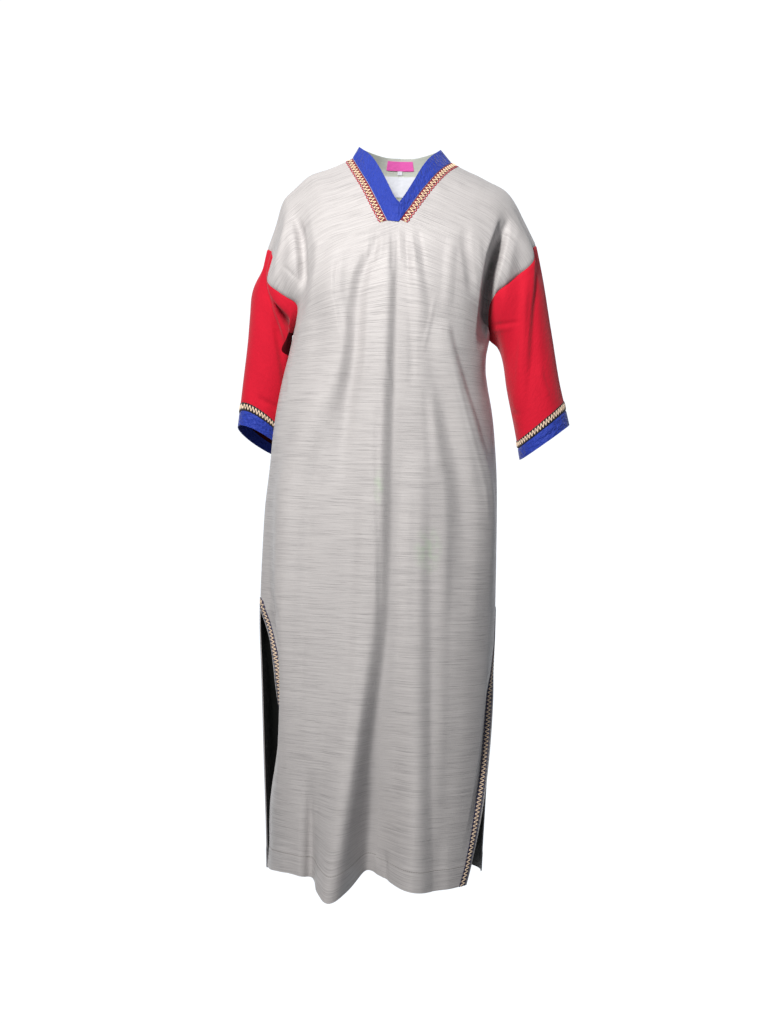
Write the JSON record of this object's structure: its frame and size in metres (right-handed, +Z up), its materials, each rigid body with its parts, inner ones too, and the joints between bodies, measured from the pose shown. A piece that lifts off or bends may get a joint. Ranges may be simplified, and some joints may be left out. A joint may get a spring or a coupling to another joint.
{
  "type": "gandoura",
  "caption": "Ankle-length worn gandoura tunic: V neck with banded edge, drop shoulders, contrast three-quarter sleeves with banded cuffs, side slits edged with braid.",
  "frame": {"origin": "middle of the neck opening, level with the tops of the shoulders where the wearer holds the garment", "axes": "+Z up along the body, front towards -Y, the wearer's left towards +X"},
  "size_m": [0.6354, 0.3464, 1.3839],
  "materials": {
    "slub_cloth": "slubbed plain weave with a low silky sheen",
    "sleeve_cloth": "matt plain weave",
    "band_cloth": "satin weave",
    "neck_braid": "zigzag braid with scalloped edges",
    "cuff_braid": "zigzag braid on a dark ground",
    "slit_braid": "zigzag braid with dark scalloped edges",
    "facing_cloth": "matt plain weave",
    "pink_label": "woven, plain",
    "white_label": "woven, plain"
  },
  "bodies": {
    "root": {"front": "slub_cloth", "back": "slub_cloth", "sleeve_right": "sleeve_cloth", "sleeve_left": "sleeve_cloth", "cuff_right": "band_cloth", "cuff_left": "band_cloth", "neck_band_right": "band_cloth", "neck_band_left": "band_cloth", "neck_braid_right": "neck_braid", "neck_braid_left": "neck_braid", "cuff_braid_right": "cuff_braid", "cuff_braid_left": "cuff_braid", "slit_braid_right": "slit_braid", "slit_braid_left": "slit_braid", "neck_facing": "facing_cloth", "woven_label": "pink_label", "size_tab": "white_label", "printed_label": "white_label"}
  },
  "joints": []
}
